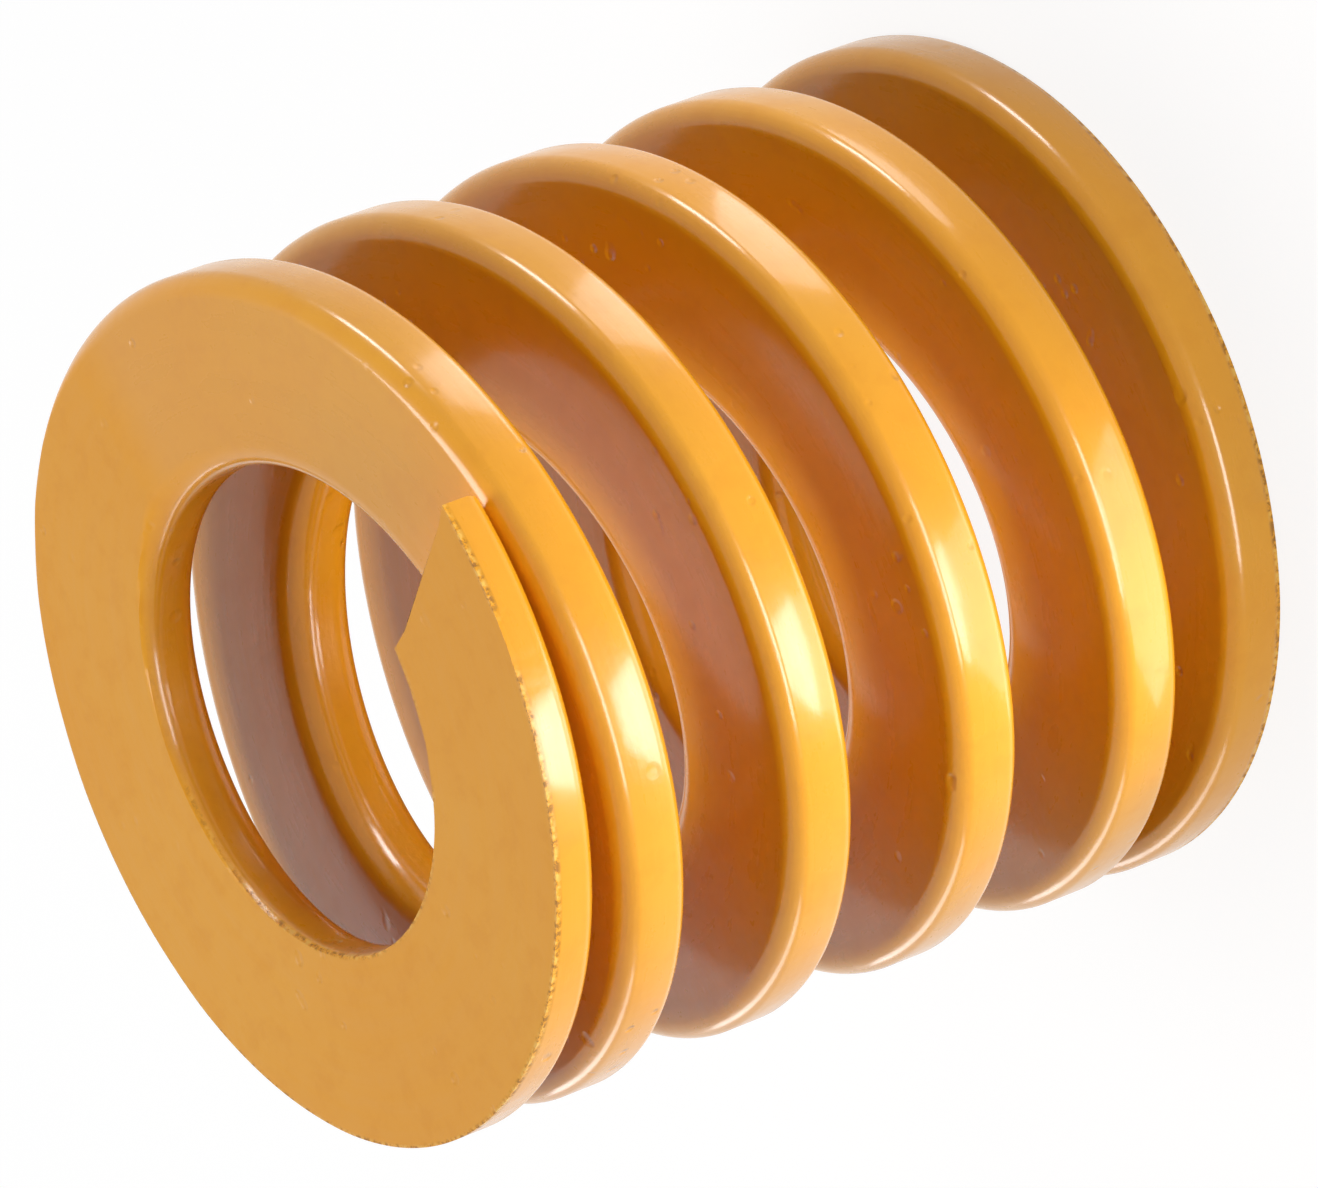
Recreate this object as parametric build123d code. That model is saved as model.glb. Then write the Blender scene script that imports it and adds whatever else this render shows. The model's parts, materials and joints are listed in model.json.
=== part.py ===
from build123d import *
from build123d.topology import SkipClean
from math import ceil, cos, pi, radians, sin
import os

# Die spring: a right-hand coil of flat wire with closed, ground ends. It stands on its lower end,
# +Z is the coil's axis, and the origin is the middle of the lower ground face. Millimetres.

outer_diameter = 50.0    # the pocket that it runs in is a little larger
bore_diameter = 27.5     # the guide rod that it runs on is a little smaller
free_length = 50.0       # between the two ground faces
turns = 5.5              # from tip to tip
wire_thickness = 4.5     # along the axis
outer_corner = 1.1       # rounding of the wire's two outer corners
bore_corner = 1.8        # rounding of the two bore corners, which coiling swells
tip_thickness = 2.75     # what grinding leaves of the wire at each tip
closed_pitch = 1.8       # rise per turn where an end turn lies closed
opening_turns = 0.3      # the stretch over which an end turn opens to the full pitch
tip_gap = 0.1            # hairline between a tip and the turn that it closes on
tip_slant = 12.0         # degrees that a tip's cut runs on from the outside to the bore

outer_radius = outer_diameter / 2
bore_radius = bore_diameter / 2
wire_width = outer_radius - bore_radius
middle_radius = (outer_radius + bore_radius) / 2

# The lands of the wire are left proud by this much, and turned back to true cylinders.
truing = 0.05
stretches = ceil(turns * 4)
turns_per_stretch = turns / stretches
stations_per_stretch = 5

# A tip lies this far above the ground plane at the wire's middle.
tip_height = tip_thickness - wire_thickness / 2
half_turns = turns / 2
# One turn on from its tip, the wire has risen by its own thickness and the hairline gap.
closing_rise = wire_thickness + tip_gap
open_pitch = (free_length / 2 - tip_height - closing_rise) / (half_turns - 1)
# The opening stretch is centred where that rise is met.
opening_middle = 1 - (closing_rise - closed_pitch) / (open_pitch - closed_pitch)
opening_start = opening_middle - opening_turns / 2


def rise_from_tip(turn):
    """How far the wire's middle has climbed, this many turns from a tip."""
    climb = closed_pitch * turn
    share = (turn - opening_start) / opening_turns
    extra_pitch = open_pitch - closed_pitch
    if share >= 1:
        climb += extra_pitch * (turn - opening_middle)
    elif share > 0:
        climb += extra_pitch * opening_turns * (share / 2 - sin(pi * share) / (2 * pi))
    return climb


def wire_height(turn):
    """Height of the wire's middle: the upper half mirrors the lower one."""
    if turn <= half_turns:
        return tip_height + rise_from_tip(turn)
    return free_length - tip_height - rise_from_tip(turns - turn)


def wire_section():
    """The flat wire across its run, with X outward: crowned at the bore, eased at the outside."""
    section = Pos(middle_radius, 0) * Rectangle(wire_width + 2 * truing, wire_thickness)
    outside = [v for v in section.vertices() if v.X > middle_radius]
    section = fillet(outside, outer_corner)
    bore_side = [v for v in section.vertices() if v.X < bore_radius]
    return fillet(bore_side, bore_corner)


def station(section, turn):
    """The section stood upright in the plane that holds the axis, this far along the wire."""
    angle = 2 * pi * turn
    outward = (cos(angle), sin(angle), 0)
    across = (sin(angle), -cos(angle), 0)
    upright = Plane(origin=(0, 0, wire_height(turn)), x_dir=outward, z_dir=across)
    return (upright * section).face()


def stretch(section, number):
    """One stretch of the coil, a quarter turn or less, with its lands turned to true cylinders."""
    first = number * turns_per_stretch
    steps = range(stations_per_stretch + 1)
    turn_at = [first + turns_per_stretch * step / stations_per_stretch for step in steps]
    as_wound = loft([station(section, turn) for turn in turn_at])
    wall = Plane.XZ * (Pos(middle_radius, free_length / 2) * Rectangle(wire_width, free_length))
    return as_wound & revolve(wall, Axis.Z, 360)


def tip_cutter():
    """The corner that the slanted cut takes off the lower tip, between its line and the wire's start."""
    slant = radians(tip_slant)
    heel = Vector(bore_radius * cos(slant), bore_radius * sin(slant))
    toe = Vector(outer_radius, 0)
    overrun = (toe - heel) * 0.2
    back = Vector(0, -wire_width)
    ends = (heel - overrun, toe + overrun)
    outline = Polyline(*ends, ends[1] + back, ends[0] + back, close=True)
    return extrude(make_face(outline), 2 * wire_thickness)


def coil():
    """The whole wire, its tips cut on the slant, with each stretch kept as faces of its own."""
    section = wire_section()
    pieces = [stretch(section, number) for number in range(stretches)]
    lower_cut = tip_cutter()
    upper_cut = Pos(0, 0, free_length) * Rot(0, 0, 360 * turns) * Rot(180, 0, 0) * lower_cut
    pieces[0] -= lower_cut
    pieces[-1] -= upper_cut
    whole = pieces[0]
    for piece in pieces[1:]:
        whole += piece
    return whole


# Faces aren't merged across the stretches, so a land reads as the cylinder that it is, all the way up.
os.makedirs("parts", exist_ok=True)
with SkipClean():
    export_step(coil(), "parts/die_spring.step")
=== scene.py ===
import bpy
import json
import math
from mathutils import Matrix, Vector


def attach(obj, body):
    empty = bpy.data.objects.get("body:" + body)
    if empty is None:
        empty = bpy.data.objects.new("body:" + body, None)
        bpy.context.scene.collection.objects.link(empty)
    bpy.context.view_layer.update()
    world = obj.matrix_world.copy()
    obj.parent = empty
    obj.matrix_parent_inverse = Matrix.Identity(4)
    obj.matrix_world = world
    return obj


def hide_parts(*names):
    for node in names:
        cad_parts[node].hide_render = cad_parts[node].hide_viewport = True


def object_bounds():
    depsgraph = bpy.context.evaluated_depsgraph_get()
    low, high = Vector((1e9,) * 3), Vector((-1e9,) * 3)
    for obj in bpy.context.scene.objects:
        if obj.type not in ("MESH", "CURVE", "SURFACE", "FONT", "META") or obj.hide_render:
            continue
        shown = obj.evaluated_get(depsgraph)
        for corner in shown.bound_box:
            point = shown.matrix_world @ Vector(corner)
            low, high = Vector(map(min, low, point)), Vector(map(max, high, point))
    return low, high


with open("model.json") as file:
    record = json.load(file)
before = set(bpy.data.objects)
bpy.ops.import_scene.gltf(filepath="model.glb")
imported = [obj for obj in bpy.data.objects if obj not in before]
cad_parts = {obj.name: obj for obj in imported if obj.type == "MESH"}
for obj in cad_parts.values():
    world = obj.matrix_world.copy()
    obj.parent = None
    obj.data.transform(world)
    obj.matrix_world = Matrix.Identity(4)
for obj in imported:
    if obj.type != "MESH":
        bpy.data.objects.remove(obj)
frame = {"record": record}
cadLow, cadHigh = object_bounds()
cadNode = "die_spring"
mounts = {m["name"]: m for m in frame["record"]["mounts"]}
fullTurn = 2 * math.pi


class TreeBuilder:
    # short calls for adding and joining nodes in one tree

    def __init__(self, tree):
        self.tree = tree

    def add(self, kind, **values):
        node = self.tree.nodes.new(kind)
        for name, value in values.items():
            setattr(node, name, value)
        return node

    def put(self, source, target):
        # a socket is joined, a plain value is set
        if isinstance(source, bpy.types.NodeSocket):
            self.tree.links.new(source, target)
        else:
            target.default_value = source

    def fill(self, node, sources):
        # inputs by their names
        for name, source in sources.items():
            self.put(source, node.inputs[name])
        return node.outputs[0]

    def feed(self, node, *sources):
        # inputs in their order
        for number, source in enumerate(sources):
            self.put(source, node.inputs[number])
        return node.outputs[0]

    def math(self, operation, *sources, clamp=False):
        return self.feed(self.add("ShaderNodeMath", operation=operation, use_clamp=clamp), *sources)

    def oneMinus(self, value):
        return self.math("SUBTRACT", 1.0, value)

    def product(self, first, *others):
        for other in others:
            first = self.math("MULTIPLY", first, other)
        return first

    def between(self, value, low, high):
        return self.math("MINIMUM", self.math("MAXIMUM", value, low), high)

    def combine(self, x, y, z):
        return self.feed(self.add("ShaderNodeCombineXYZ"), x, y, z)

    def separate(self, vector):
        node = self.add("ShaderNodeSeparateXYZ")
        self.feed(node, vector)
        return node.outputs

    def around(self, angle, radius, height):
        # a place at an angle about the upright axis
        across = self.math("MULTIPLY", self.math("COSINE", angle), radius)
        away = self.math("MULTIPLY", self.math("SINE", angle), radius)
        return self.combine(across, away, height)


coil = {
    "wireThickness": 0.0045,
    "turns": 5.5,
    "outerCorner": 0.0011,
    "boreCorner": 0.0018,
    "tipThickness": 0.00275,
    "closedPitch": 0.0018,
    "openingTurns": 0.3,
    "tipGap": 0.0001,
    "tipSlant": math.radians(12),
    "rows": 1900,             # sections along the wire
    "endCrowding": 0.55,      # 0 spaces the sections evenly, towards 1 crowds them at the tips
    "cornerSteps": 10,
    "crown": 0.00030,         # how far the outer land's corners fall back from its middle
    "waviness": 0.00004,      # how far the lands stray from true
    "wavesPerMetre": 160.0,
    "chipDepth": 0.00012,     # how far the ragged ground edges are broken back
    "chipSize": 0.0011,
    "chipPatchesPerMetre": 90.0,
    "chipLevel": 0.72,        # higher leaves fewer chips
    "chipPatchiness": 0.5,    # how much more the edge chips in some stretches than in others
    "chipSteepness": 4.0,
    "seed": 7.0,
    "patchSeedShift": 3.0,
    "waveSeedShift": 9.0,
    "weldDistance": 0.000004,
    "creaseAngle": math.radians(28),
}


def addSocket(tree, name, way, kind):
    tree.interface.new_socket(name=name, in_out=way, socket_type=kind)


def buildRiseGroup():
    # how far the wire's middle has climbed, a number of turns from a tip
    tree = bpy.data.node_groups.new("riseFromTip", "GeometryNodeTree")
    for name in ("Turn", "Closed Pitch", "Open Pitch", "Opening Start", "Opening Turns"):
        addSocket(tree, name, "INPUT", "NodeSocketFloat")
    addSocket(tree, "Rise", "OUTPUT", "NodeSocketFloat")
    b = TreeBuilder(tree)
    given = b.add("NodeGroupInput").outputs
    turn, closed, opened, start, spread = (given[i] for i in range(5))
    past = b.math("SUBTRACT", turn, start)
    share = b.math("DIVIDE", past, spread, clamp=True)
    swing = b.math("SINE", b.math("MULTIPLY", share, math.pi))
    eased = b.math("SUBTRACT", b.math("MULTIPLY", share, 0.5), b.math("DIVIDE", swing, fullTurn))
    beyond = b.math("MAXIMUM", b.math("SUBTRACT", past, spread), 0.0)
    extra = b.math("ADD", b.math("MULTIPLY", eased, spread), beyond)
    climb = b.math("MULTIPLY", turn, closed)
    rise = b.math("MULTIPLY_ADD", extra, b.math("SUBTRACT", opened, closed), climb)
    b.put(rise, b.add("NodeGroupOutput").inputs[0])
    return tree


def storeAttribute(b, geometry, name, kind, value):
    node = b.add("GeometryNodeStoreNamedAttribute", data_type=kind, domain="POINT")
    return b.fill(node, {"Geometry": geometry, "Name": name, "Value": value})


def readAttribute(b, name, kind):
    node = b.add("GeometryNodeInputNamedAttribute", data_type=kind)
    b.fill(node, {"Name": name})
    return node.outputs["Attribute"]


def moveTo(b, geometry, place):
    return b.fill(b.add("GeometryNodeSetPosition"), {"Geometry": geometry, "Position": place})


def layRun(b, given, middle):
    # the wire's run: a line whose points carry how many turns along they are
    rows, turns = given["Rows"], given["Turns"]
    line = b.fill(b.add("GeometryNodeMeshLine"), {"Count": rows})
    point = b.add("GeometryNodeInputIndex").outputs[0]
    share = b.math("DIVIDE", point, b.math("SUBTRACT", rows, 1.0))
    swing = b.math("SINE", b.math("MULTIPLY", share, fullTurn))
    crowd = b.math("DIVIDE", b.math("MULTIPLY", swing, given["End Crowding"]), fullTurn)
    turnAt = b.math("MULTIPLY", b.math("SUBTRACT", share, crowd), turns)
    angle = b.math("MULTIPLY", turnAt, fullTurn)
    climb = b.math("MULTIPLY", b.math("DIVIDE", turnAt, turns), given["Free Length"])
    carrying = storeAttribute(b, line, "turn", "FLOAT", turnAt)
    placed = moveTo(b, carrying, b.around(angle, middle, climb))
    return b.fill(b.add("GeometryNodeMeshToCurve"), {"Mesh": placed})


def shapeSection(b, given, width):
    # the wire's section: eased corners at the outside, rounder ones at the bore
    block = b.add("GeometryNodeCurvePrimitiveQuadrilateral")
    flat = b.fill(block, {"Width": width, "Height": given["Wire Thickness"]})
    position = b.add("GeometryNodeInputPosition").outputs[0]
    isOutside = b.math("GREATER_THAN", b.separate(position)[0], 0.0)
    bothCorners = b.math("SUBTRACT", given["Outer Corner"], given["Bore Corner"])
    corner = b.math("MULTIPLY_ADD", isOutside, bothCorners, given["Bore Corner"])
    fillet = b.add("GeometryNodeFilletCurve", mode="POLY")
    rounded = b.fill(fillet, {"Curve": flat, "Radius": corner, "Count": given["Corner Steps"]})
    return storeAttribute(b, rounded, "section", "FLOAT_VECTOR", position)


def crownedRadius(b, given, middle, sectionX, sectionY):
    # the outer land is a little proud along its middle
    halfThickness = b.math("MULTIPLY", given["Wire Thickness"], 0.5)
    rise = b.math("DIVIDE", sectionY, halfThickness)
    isOutside = b.math("GREATER_THAN", sectionX, 0.0)
    fall = b.product(rise, rise, given["Crown"], isOutside)
    return b.math("SUBTRACT", b.math("ADD", middle, sectionX), fall)


def slantedTurn(b, given, radius, width):
    # the tips are cut on the slant: further on at the bore than at the outside
    turns = given["Turns"]
    inward = b.math("DIVIDE", b.math("SUBTRACT", given["Outer Radius"], radius), width)
    slantTurns = b.math("DIVIDE", given["Tip Slant"], fullTurn)
    firstTurn = b.math("MULTIPLY", inward, slantTurns)
    lastTurn = b.math("SUBTRACT", turns, firstTurn)
    return b.between(readAttribute(b, "turn", "FLOAT"), firstTurn, lastTurn)


def wireMiddleHeight(b, given, riseGroup, turn):
    # each half climbs from its own tip, so the two ends are alike
    def heightFrom(tipTurn):
        sources = (tipTurn, given["Closed Pitch"], given["Open Pitch"],
                   given["Opening Start"], given["Opening Turns"])
        rise = b.feed(b.add("GeometryNodeGroup", node_tree=riseGroup), *sources)
        return b.math("ADD", rise, given["Tip Height"])

    turns = given["Turns"]
    low = heightFrom(turn)
    high = b.math("SUBTRACT", given["Free Length"], heightFrom(b.math("SUBTRACT", turns, turn)))
    isUpper = b.math("GREATER_THAN", turn, b.math("MULTIPLY", turns, 0.5))
    return b.math("MULTIPLY_ADD", isUpper, b.math("SUBTRACT", high, low), low), isUpper


def seededNoise(b, given, place, scale, detail=2.0, roughness=0.5, shift=0.0):
    node = b.add("ShaderNodeTexNoise", noise_dimensions="4D")
    seed = b.math("ADD", given["Seed"], shift)
    sources = {"Vector": place, "W": seed, "Scale": scale, "Detail": detail, "Roughness": roughness}
    return b.fill(node, sources)


def chippedDepth(b, given, place, height, isGround):
    # ragged edges where the grinding met the wire, deeper in some stretches than in others
    depth, length = given["Chip Depth"], given["Free Length"]
    chipScale = b.math("DIVIDE", 1.0, given["Chip Size"])
    fine = seededNoise(b, given, place, chipScale, detail=3.0, roughness=0.65)
    patchy = seededNoise(b, given, place, coil["chipPatchesPerMetre"], shift=coil["patchSeedShift"])
    level = b.math("MULTIPLY_ADD", patchy, -coil["chipPatchiness"], coil["chipLevel"])
    chip = b.math("MAXIMUM", b.math("SUBTRACT", fine, level), 0.0)
    chip = b.math("MINIMUM", b.math("MULTIPLY", chip, coil["chipSteepness"]), 1.0)
    toPlane = b.math("MINIMUM", height, b.math("SUBTRACT", length, height))
    nearPlane = b.math("SUBTRACT", 1.0, b.math("DIVIDE", toPlane, depth), clamp=True)
    return b.product(chip, depth, nearPlane, isGround)


def finishMesh(b, given, geometry):
    # welded where the wire's ends and corners meet, smooth apart from its sharp edges
    welded = b.fill(b.add("GeometryNodeMergeByDistance"),
                    {"Geometry": geometry, "Distance": coil["weldDistance"]})
    smooth = b.fill(b.add("GeometryNodeSetShadeSmooth", domain="FACE"), {"Geometry": welded})
    bend = b.add("GeometryNodeInputMeshEdgeAngle").outputs["Unsigned Angle"]
    isSharp = b.math("GREATER_THAN", bend, coil["creaseAngle"])
    creased = b.fill(b.add("GeometryNodeSetShadeSmooth", domain="EDGE"),
                     {"Geometry": smooth, "Selection": isSharp, "Shade Smooth": False})
    real = b.feed(b.add("GeometryNodeRealizeInstances"), creased)
    return b.fill(b.add("GeometryNodeSetMaterial"), {"Geometry": real, "Material": given["Finish"]})


def buildCoilTree(riseGroup):
    tree = bpy.data.node_groups.new("woundCoil", "GeometryNodeTree")
    tree.is_modifier = True
    addSocket(tree, "Geometry", "INPUT", "NodeSocketGeometry")
    names = (
        "Outer Radius", "Bore Radius", "Free Length", "Wire Thickness", "Turns",
        "Outer Corner", "Bore Corner", "Tip Height", "Closed Pitch", "Open Pitch",
        "Opening Start", "Opening Turns", "Tip Slant", "End Crowding", "Chip Depth",
        "Chip Size", "Waviness", "Crown", "Seed",
    )
    for name in names:
        addSocket(tree, name, "INPUT", "NodeSocketFloat")
    addSocket(tree, "Rows", "INPUT", "NodeSocketInt")
    addSocket(tree, "Corner Steps", "INPUT", "NodeSocketInt")
    addSocket(tree, "Finish", "INPUT", "NodeSocketMaterial")
    addSocket(tree, "Geometry", "OUTPUT", "NodeSocketGeometry")
    b = TreeBuilder(tree)
    given = b.add("NodeGroupInput").outputs
    outer, bore, length = given["Outer Radius"], given["Bore Radius"], given["Free Length"]
    width = b.math("SUBTRACT", outer, bore)
    middle = b.math("MULTIPLY", b.math("ADD", outer, bore), 0.5)
    wire = b.fill(b.add("GeometryNodeCurveToMesh"), {
        "Curve": layRun(b, given, middle),
        "Profile Curve": shapeSection(b, given, width),
        "Fill Caps": True,
    })

    # every point to its true place, from its turn and its place in the section
    sectionX, sectionY, _ = b.separate(readAttribute(b, "section", "FLOAT_VECTOR"))
    radius = crownedRadius(b, given, middle, sectionX, sectionY)
    turn = slantedTurn(b, given, radius, width)
    wireMiddle, isUpper = wireMiddleHeight(b, given, riseGroup, turn)
    height = b.between(b.math("ADD", wireMiddle, sectionY), 0.0, length)
    half = b.math("MULTIPLY", given["Wire Thickness"], 0.5)
    lowCut = b.math("SUBTRACT", half, wireMiddle)
    highCut = b.math("SUBTRACT", b.math("ADD", wireMiddle, half), length)
    isGround = b.math("GREATER_THAN", b.math("MAXIMUM", lowCut, highCut), 0.0)

    # the wire isn't dead true: its lands swell and dip a little, and its ground edges are chipped
    spin = b.math("MULTIPLY", turn, fullTurn)
    noisePlace = b.around(spin, radius, b.math("MULTIPLY", isUpper, length))
    chip = chippedDepth(b, given, noisePlace, height, isGround)
    waves = seededNoise(b, given, noisePlace, coil["wavesPerMetre"], shift=coil["waveSeedShift"])
    swell = b.math("MULTIPLY", waves, given["Waviness"])
    outerLimit = b.math("SUBTRACT", b.math("SUBTRACT", outer, chip), swell)
    boreLimit = b.math("ADD", b.math("ADD", bore, chip), swell)
    finalRadius = b.math("MAXIMUM", b.math("MINIMUM", radius, outerLimit), boreLimit)
    placed = moveTo(b, wire, b.around(spin, finalRadius, height))

    # the finish reads which stretch of the wire the grinding cut
    marked = storeAttribute(b, placed, "groundEdge", "FLOAT", isGround)
    b.put(finishMesh(b, given, marked), b.add("NodeGroupOutput").inputs[0])
    return tree


def coilValues():
    # the values the tree needs, from the sizes above and the frame's own box
    outer = (cadHigh.x - cadLow.x) / 2
    bore = mounts["guide_bore"]["dims"]["r_mm"] / 1000
    length = cadHigh.z - cadLow.z
    tipHeight = coil["tipThickness"] - coil["wireThickness"] / 2
    closingRise = coil["wireThickness"] + coil["tipGap"]
    openPitch = (length / 2 - tipHeight - closingRise) / (coil["turns"] / 2 - 1)
    openingMiddle = 1 - (closingRise - coil["closedPitch"]) / (openPitch - coil["closedPitch"])
    return {
        "Outer Radius": outer,
        "Bore Radius": bore,
        "Free Length": length,
        "Wire Thickness": coil["wireThickness"],
        "Turns": coil["turns"],
        "Outer Corner": coil["outerCorner"],
        "Bore Corner": coil["boreCorner"],
        "Tip Height": tipHeight,
        "Closed Pitch": coil["closedPitch"],
        "Open Pitch": openPitch,
        "Opening Start": openingMiddle - coil["openingTurns"] / 2,
        "Opening Turns": coil["openingTurns"],
        "Tip Slant": coil["tipSlant"],
        "End Crowding": coil["endCrowding"],
        "Chip Depth": coil["chipDepth"],
        "Chip Size": coil["chipSize"],
        "Waviness": coil["waviness"],
        "Crown": coil["crown"],
        "Seed": coil["seed"],
        "Rows": coil["rows"],
        "Corner Steps": coil["cornerSteps"],
    }


def addToScene(name, data):
    thing = bpy.data.objects.new(name, data)
    bpy.context.scene.collection.objects.link(thing)
    return thing


def plainMeshFrom(name, tree, values):
    # runs the tree once and keeps its result as a plain mesh at the origin
    holder = addToScene(name + "Maker", bpy.data.meshes.new(name + "Maker"))
    modifier = holder.modifiers.new("maker", "NODES")
    modifier.node_group = tree
    for item in tree.interface.items_tree:
        if item.item_type == "SOCKET" and item.in_out == "INPUT" and item.name in values:
            modifier[item.identifier] = values[item.name]
    holder.update_tag()
    evaluated = holder.evaluated_get(bpy.context.evaluated_depsgraph_get())
    mesh = bpy.data.meshes.new_from_object(evaluated)
    holder.modifiers.remove(modifier)
    bpy.data.objects.remove(holder)
    mesh.name = name
    return addToScene(name, mesh)


enamel = {
    "colour": (0.79, 0.330, 0.007, 1.0),
    "deepColour": (0.69, 0.255, 0.004, 1.0),
    "paleColour": (0.80, 0.352, 0.014, 1.0),
    "chippedPaintAndHighlightColour": (0.86, 0.55, 0.12, 1.0),  # paint broken open along the ground edges, also a painted highlight along them
    "primer": (0.17, 0.075, 0.03, 1.0),
    "mottling": 0.25,         # how much of the deep colour shows
    "pitShade": 0.12,
    "chippedPaintAndHighlightShare": 0.7,
    "wear": 0.7,
    "shine": 0.3,
    "roughness": 0.30,
    "groundRoughness": 0.46,
    "mottleRoughness": 0.22,  # how far the mottling, the drawing lines and wear change the roughness
    "drawnRoughness": 0.25,
    "wornRoughness": 0.3,
    "coat": 0.6,
    "coatRoughness": 0.13,
    "coatIor": 1.5,
    "groundCoatLoss": 0.65,   # how much less the ground faces are coated
    "peelDepth": 0.000022,
    "pitDepth": 0.00010,
    "fineDepth": 0.000018,
    "drawnDepth": 0.000032,
    "grainDepth": 0.000010,
    "crumbDepth": 0.00012,
    "pitSize": 0.0016,
    "drawnStretch": 14.0,     # how much longer the drawing lines are along the wire than across
    "grainTurn": math.radians(62),
    "grainStretch": (1.0, 9.0, 1.0),
    # each pattern: cells to the metre, detail, roughness
    "patterns": {
        "clouds": (55.0, 3.0, 0.5),
        "mottle": (420.0, 4.0, 0.6),
        "pitPatches": (140.0, 2.0, 0.5),
        "drawn": (1.0 / 0.0011, 3.0, 0.6),
        "crumbs": (2300.0, 3.0, 0.65),
        "crumbPatches": (150.0, 2.0, 0.5),
        "landChips": (1400.0, 4.0, 0.7),
        "landPatches": (75.0, 1.0, 0.5),
        "peel": (1.0 / 0.0014, 2.0, 0.5),
        "grain": (420.0, 3.0, 0.6),
        "finePatches": (210.0, 2.0, 0.5),
        "fine": (1.0 / 0.00045, 2.0, 0.5),
    },
    # each mask: the value at which it starts and the value at which it is full
    "masks": {
        "offGround": (0.00002, 0.00035),
        "pale": (0.40, 0.66),
        "mottle": (0.46, 0.70),
        "offPit": (0.06, 0.22),
        "pitPatches": (0.54, 0.66),
        "offRim": (0.00006, 0.00036),
        "offPlane": (0.00012, 0.00042),
        "crumbPatches": (0.30, 0.50),
        "worn": (0.50, 0.62),
        "offChippedPaintAndHighlight": (0.40, 0.52),
        "landChips": (0.68, 0.74),
        "landPatches": (0.66, 0.72),
        "finePatches": (0.44, 0.62),
    },
}


class PaintBuilder(TreeBuilder):
    # patterns and masks by their names in the enamel's dictionary

    def pattern(self, name, vector):
        scale, detail, roughness = enamel["patterns"][name]
        sources = {"Vector": vector, "Scale": scale, "Detail": detail, "Roughness": roughness}
        return self.fill(self.add("ShaderNodeTexNoise"), sources)

    def mask(self, name, value):
        start, full = enamel["masks"][name]
        node = self.add("ShaderNodeMapRange", interpolation_type="SMOOTHSTEP")
        return self.fill(node, {"Value": value, "From Min": start, "From Max": full})

    def patches(self, name, vector):
        return self.mask(name, self.pattern(name, vector))

    def mix(self, factor, first, second):
        node = self.add("ShaderNodeMix", data_type="RGBA")
        sockets = {socket.identifier: socket for socket in node.inputs}
        self.put(factor, sockets["Factor_Float"])
        self.put(first, sockets["A_Color"])
        self.put(second, sockets["B_Color"])
        return next(s for s in node.outputs if s.identifier == "Result_Color")

    def tint(self, colour, mask, name, strength):
        # lays one of the enamel's colours over another through a mask
        return self.mix(self.math("MULTIPLY", mask, strength), colour, enamel[name])

    def swing(self, value, pattern, name):
        # a pattern moves a value up and down about its middle
        return self.math("MULTIPLY_ADD", self.math("SUBTRACT", pattern, 0.5), enamel[name], value)

    def lift(self, value, mask, amount, clamp=False):
        # a mask or pattern adds its share of an amount
        return self.math("MULTIPLY_ADD", mask, amount, value, clamp=clamp)


def newMaterial(name, builder=TreeBuilder):
    material = bpy.data.materials.new(name)
    material.use_nodes = True
    material.node_tree.nodes.clear()
    b = builder(material.node_tree)
    shader = b.add("ShaderNodeBsdfPrincipled")
    b.put(shader.outputs[0], b.add("ShaderNodeOutputMaterial").inputs["Surface"])
    return material, b, shader


def drawingLines(b, outer, bore):
    # they run along the wire, so they are read from its length and its section
    along = b.add("ShaderNodeAttribute", attribute_name="turn").outputs["Fac"]
    section = b.add("ShaderNodeAttribute", attribute_name="section").outputs["Vector"]
    sectionX, sectionY, _ = b.separate(section)
    wireLength = b.math("MULTIPLY", along, math.pi * (outer + bore) / enamel["drawnStretch"])
    return b.pattern("drawn", b.combine(wireLength, sectionX, sectionY))


def grindingGrain(b, place):
    stretch = b.add("ShaderNodeMapping")
    turn = (0.0, 0.0, enamel["grainTurn"])
    b.fill(stretch, {"Vector": place, "Rotation": turn, "Scale": enamel["grainStretch"]})
    return b.pattern("grain", stretch.outputs[0])


def paintPits(b, place):
    cells = b.add("ShaderNodeTexVoronoi", feature="SMOOTH_F1")
    b.fill(cells, {"Vector": place, "Scale": 1.0 / enamel["pitSize"]})
    pit = b.oneMinus(b.mask("offPit", cells.outputs["Distance"]))
    return b.math("MULTIPLY", pit, b.patches("pitPatches", place))


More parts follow.
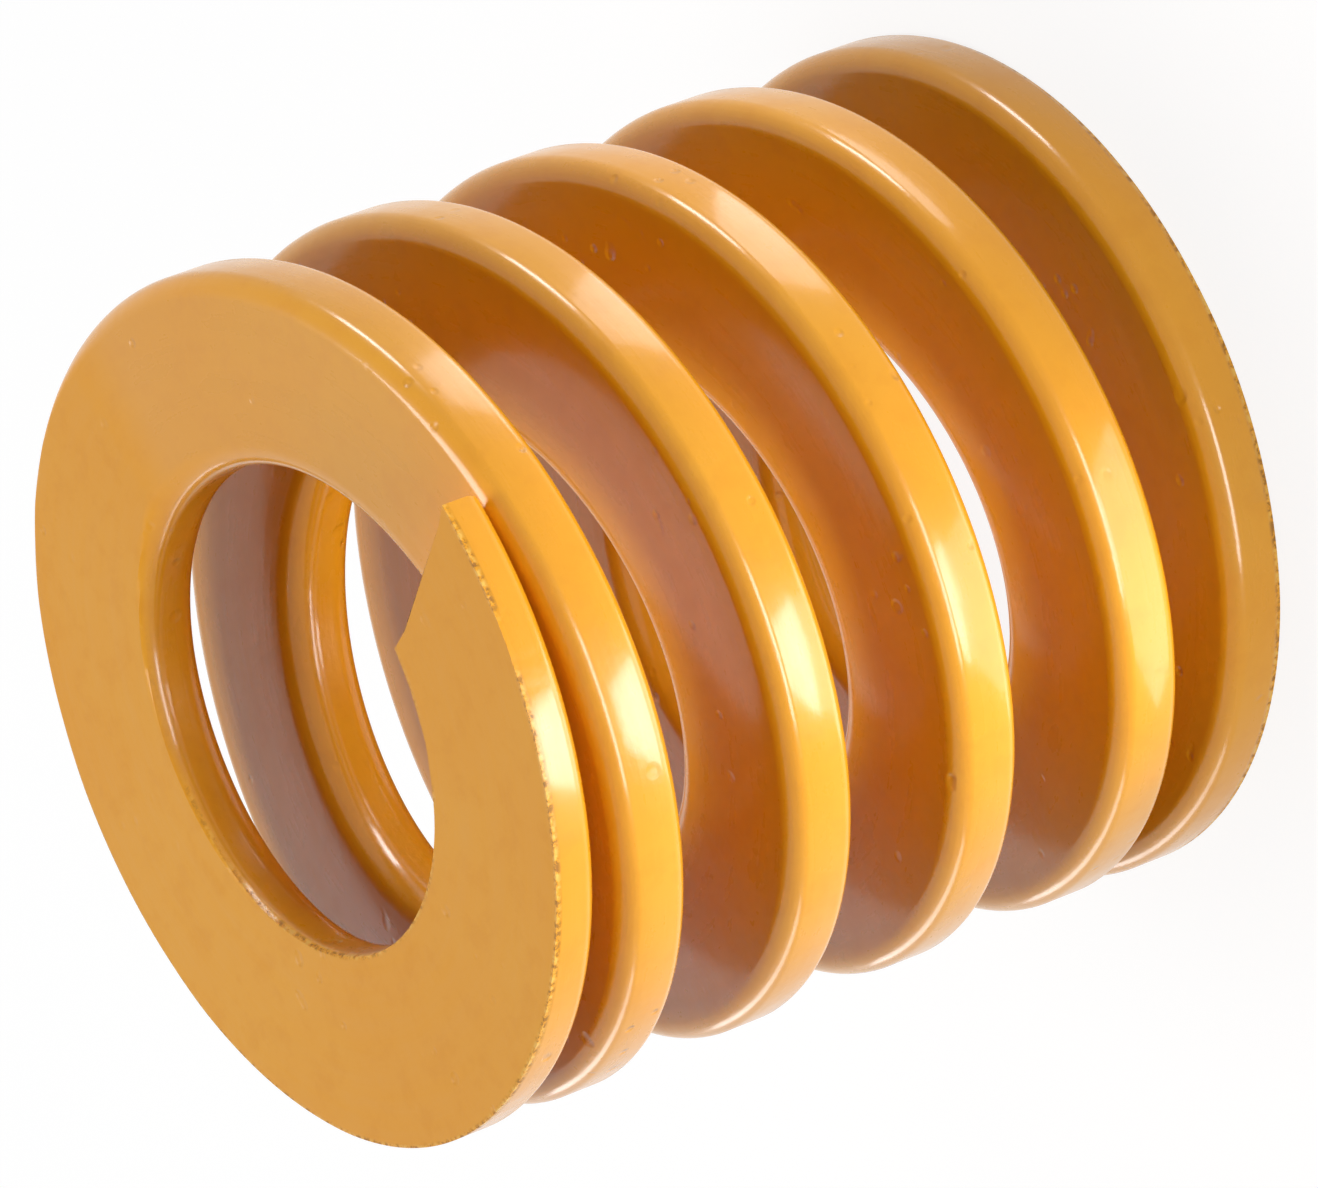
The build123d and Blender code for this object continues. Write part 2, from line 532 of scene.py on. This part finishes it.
def makeEnamel(outer, bore, length):
    material, b, shader = newMaterial("yellowEnamel", PaintBuilder)
    place = b.add("ShaderNodeTexCoord").outputs["Object"]
    x, y, z = b.separate(place)

    # the ground faces lie in the two end planes
    fromTop = b.math("ABSOLUTE", b.math("SUBTRACT", z, length))
    fromEnds = b.math("MINIMUM", b.math("ABSOLUTE", z), fromTop)
    ground = b.oneMinus(b.mask("offGround", fromEnds))
    away = b.add("ShaderNodeVectorMath", operation="LENGTH")
    b.feed(away, b.combine(x, y, 0.0))
    fromAxis = away.outputs["Value"]
    fromBore = b.math("SUBTRACT", fromAxis, bore)
    fromRims = b.math("MINIMUM", b.math("SUBTRACT", outer, fromAxis), fromBore)

    mottle = b.pattern("mottle", place)
    drawn = drawingLines(b, outer, bore)
    pit = paintPits(b, place)

    # wear: crumbs of broken paint along the ground edges, the pale ones also a painted highlight
    # along them, and, here and there, a chip on the lands
    edge = b.add("ShaderNodeAttribute", attribute_name="groundEdge").outputs["Fac"]
    byRim = b.oneMinus(b.mask("offRim", fromRims))
    byPlane = b.oneMinus(b.mask("offPlane", fromEnds))
    groundEdgeBand = b.product(edge, byRim, byPlane, b.patches("crumbPatches", place))
    crumbs = b.pattern("crumbs", place)
    edgeWear = b.math("MULTIPLY", groundEdgeBand, b.mask("worn", crumbs))
    # pale crumbs along the ground edges: broken paint, and a painted highlight along those edges
    chippedPaintAndHighlight = b.math("MULTIPLY", groundEdgeBand, b.oneMinus(b.mask("offChippedPaintAndHighlight", crumbs)))
    landWear = b.math("MULTIPLY", b.patches("landChips", place), b.patches("landPatches", place))
    wear = b.math("MULTIPLY", b.math("MAXIMUM", edgeWear, landWear), enamel["wear"], clamp=True)

    # colour: broad clouds, mottling, and darker film pooled in the pits
    pale = b.mask("pale", b.pattern("clouds", place))
    colour = b.mix(pale, enamel["colour"], enamel["paleColour"])
    colour = b.tint(colour, b.mask("mottle", mottle), "deepColour", enamel["mottling"])
    colour = b.tint(colour, chippedPaintAndHighlight, "chippedPaintAndHighlightColour", enamel["chippedPaintAndHighlightShare"])
    colour = b.tint(colour, pit, "deepColour", enamel["pitShade"])
    colour = b.mix(wear, colour, enamel["primer"])

    # gloss: duller and less coated where ground, and dull where worn
    groundLift = enamel["groundRoughness"] - enamel["roughness"]
    rough = b.lift(enamel["roughness"], ground, groundLift)
    rough = b.swing(rough, mottle, "mottleRoughness")
    rough = b.swing(rough, drawn, "drawnRoughness")
    rough = b.lift(rough, wear, enamel["wornRoughness"], clamp=True)
    kept = b.oneMinus(b.math("MULTIPLY", ground, enamel["groundCoatLoss"]))
    coat = b.product(kept, enamel["coat"], b.oneMinus(wear))

    # relief: orange peel, fine roughness, drawing lines, pits, the grinding's grain and crumbs
    fine = b.math("MULTIPLY", b.pattern("fine", place), b.patches("finePatches", place))
    grain = b.math("MULTIPLY", grindingGrain(b, place), ground)
    height = b.math("MULTIPLY", b.pattern("peel", place), enamel["peelDepth"])
    height = b.lift(height, fine, enamel["fineDepth"])
    height = b.lift(height, drawn, enamel["drawnDepth"])
    height = b.lift(height, pit, -enamel["pitDepth"])
    height = b.lift(height, grain, enamel["grainDepth"])
    height = b.lift(height, b.math("MULTIPLY", groundEdgeBand, crumbs), -enamel["crumbDepth"])
    relief = b.fill(b.add("ShaderNodeBump"), {"Strength": 1.0, "Distance": 1.0, "Height": height})

    b.fill(shader, {
        "Base Color": colour,
        "Roughness": rough,
        "Specular IOR Level": enamel["shine"],
        "Coat Weight": coat,
        "Coat Roughness": enamel["coatRoughness"],
        "Coat IOR": enamel["coatIor"],
        "Normal": relief,
    })
    return material


stage = {
    "floorSize": 6.0,
    "floorDrop": 0.00002,  # keeps the floor clear of the spring's lower end
    "floorColour": (0.16, 0.16, 0.16, 1.0),
    "floorGlow": 0.87,
    "white": (1.0, 1.0, 1.0, 1.0),
    "worldLight": 0.02,
    # each lamp: place as azimuth and elevation about the spring, distance, size across and up, watts
    "lamps": {
        "keyLight": ((226.0, 5.0), 0.50, (0.36, 0.125), 1.8),
        "leftLight": ((330.0, 4.0), 0.50, (0.20, 0.10), 1.1),
        "rightLight": ((130.0, 4.0), 0.50, (0.50, 0.10), 0.70),
        "topLight": ((70.0, 76.0), 0.60, (0.32, 0.32), 2.6),
    },
    # light panels lying on the floor, face up: azimuth, distance from the axis, size across and
    # outward, watts
    "panels": {
        "nearPanel": (226.0, 0.045, (0.026, 0.034), 0.0085),
        "farPanel": (226.0, 0.092, (0.030, 0.060), 0.075),
        "leftPanel": (312.0, 0.080, (0.026, 0.080), 0.026),
    },
    "panelLift": 0.003,
}
camera = {
    "azimuth": 252.0,
    "elevation": 31.4,
    "roll": -110.4,
    "distance": 0.605,
    "lens": 295.0,
    "shift": (0.0057, -0.0093),
    "clip": (0.05, 20.0),
}


def toward(azimuth, elevation):
    a, e = math.radians(azimuth), math.radians(elevation)
    return Vector((math.sin(a) * math.cos(e), -math.cos(a) * math.cos(e), math.sin(e)))


def seenDirectly(b, strength):
    # strength for what the camera sees straight, in a reflection or through glass, nothing otherwise
    path = b.add("ShaderNodeLightPath").outputs
    seen = b.math("ADD", path["Is Camera Ray"], path["Is Glossy Ray"])
    seen = b.math("ADD", seen, path["Is Transmission Ray"], clamp=True)
    return b.math("MULTIPLY", seen, strength)


def makeFloor():
    material, b, shader = newMaterial("paperWhite")
    b.fill(shader, {
        "Base Color": stage["floorColour"],
        "Roughness": 1.0,
        "Specular IOR Level": 0.0,
        "Emission Color": stage["white"],
        "Emission Strength": seenDirectly(b, stage["floorGlow"]),
    })
    half = stage["floorSize"] / 2
    corners = [(-half, -half, 0), (half, -half, 0), (half, half, 0), (-half, half, 0)]
    mesh = bpy.data.meshes.new("floor")
    mesh.from_pydata(corners, [], [(0, 1, 2, 3)])
    mesh.materials.append(material)
    floor = addToScene("floor", mesh)
    floor.location.z = -stage["floorDrop"]


def makeWorld():
    world = bpy.data.worlds.new("studio")
    world.use_nodes = True
    world.node_tree.nodes.clear()
    b = TreeBuilder(world.node_tree)
    extra = seenDirectly(b, 1.0 - stage["worldLight"])
    strength = b.math("ADD", extra, stage["worldLight"])
    background = b.add("ShaderNodeBackground")
    b.fill(background, {"Color": stage["white"], "Strength": strength})
    b.put(background.outputs[0], b.add("ShaderNodeOutputWorld").inputs["Surface"])
    bpy.context.scene.world = world


def makeAreaLight(name, size, watts):
    data = bpy.data.lights.new(name, "AREA")
    data.shape = "RECTANGLE"
    data.size, data.size_y = size
    data.energy = watts
    return addToScene(name, data)


def makeLamps(middle):
    for name, (direction, distance, size, watts) in stage["lamps"].items():
        lamp = makeAreaLight(name, size, watts)
        back = toward(*direction)
        lamp.location = middle + back * distance
        lamp.rotation_euler = back.to_track_quat("Z", "Y").to_euler()


def makePanels():
    for name, (azimuth, distance, size, watts) in stage["panels"].items():
        panel = makeAreaLight(name, size, watts)
        panel.location = toward(azimuth, 0.0) * distance + Vector((0, 0, stage["panelLift"]))
        panel.rotation_euler = (math.pi, 0, math.radians(azimuth + 180))
        panel.visible_camera = False


def makeCamera(middle):
    data = bpy.data.cameras.new("camera")
    data.lens = camera["lens"]
    data.shift_x, data.shift_y = camera["shift"]
    data.clip_start, data.clip_end = camera["clip"]
    back = toward(camera["azimuth"], camera["elevation"])
    right = Vector((0, 0, 1)).cross(back).normalized()
    up = back.cross(right)
    roll = math.radians(camera["roll"])
    across = math.cos(roll) * right + math.sin(roll) * up
    upward = math.cos(roll) * up - math.sin(roll) * right
    facing = Matrix((across, upward, back)).transposed().to_4x4()
    eye = addToScene("camera", data)
    eye.matrix_world = Matrix.Translation(middle + back * camera["distance"]) @ facing
    bpy.context.scene.camera = eye


print("coil")
values = coilValues()
values["Finish"] = makeEnamel(values["Outer Radius"], values["Bore Radius"], values["Free Length"])
spring = plainMeshFrom("dieSpring", buildCoilTree(buildRiseGroup()), values)
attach(spring, "root")
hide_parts(cadNode)

print("floor, lamps and camera")
middle = (cadLow + cadHigh) / 2
makeFloor()
makeWorld()
makeLamps(middle)
makePanels()
makeCamera(middle)
bpy.context.scene.view_settings.view_transform = "Standard"

print("triangles", sum(len(p.vertices) - 2 for p in spring.data.polygons))
